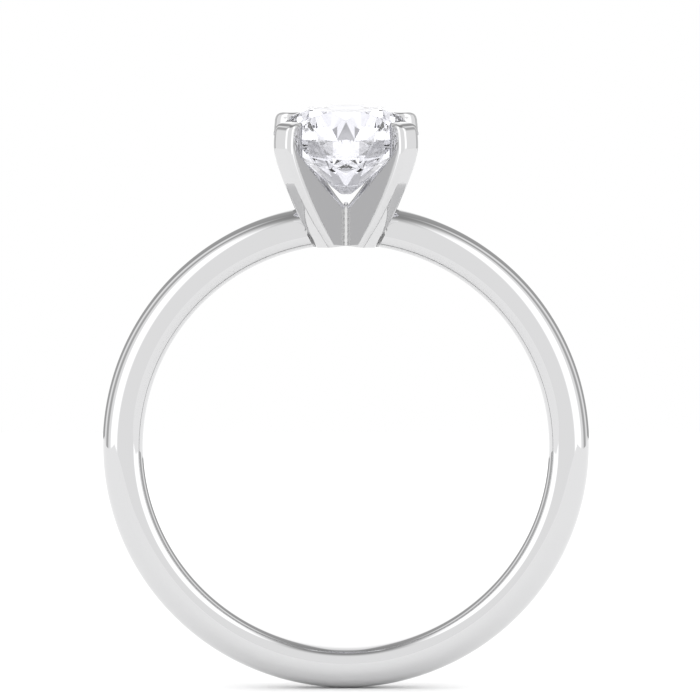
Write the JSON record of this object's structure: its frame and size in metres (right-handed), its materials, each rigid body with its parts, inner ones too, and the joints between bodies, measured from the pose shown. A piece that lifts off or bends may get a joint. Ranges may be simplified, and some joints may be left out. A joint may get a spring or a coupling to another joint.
{
  "type": "engagement ring",
  "caption": "Plain domed metal finger ring with an open top, closed by a crossed prong head that holds a round brilliant stone.",
  "frame": {"origin": "centre of the finger hole", "axes": "+Z from the finger hole up to the stone, Y along the finger, X across the finger"},
  "size_m": [0.0198, 0.006, 0.0237],
  "materials": {
    "band_metal": "polished",
    "head_metal": "polished",
    "solder": "polished",
    "stone": "polished"
  },
  "bodies": {
    "root": {"shank": "band_metal", "fork_lower": "head_metal", "fork_upper": "head_metal", "head_solder_left": "solder", "head_solder_right": "solder", "corner_solder_front": "solder", "corner_solder_back": "solder", "center_stone": "stone"}
  },
  "joints": []
}
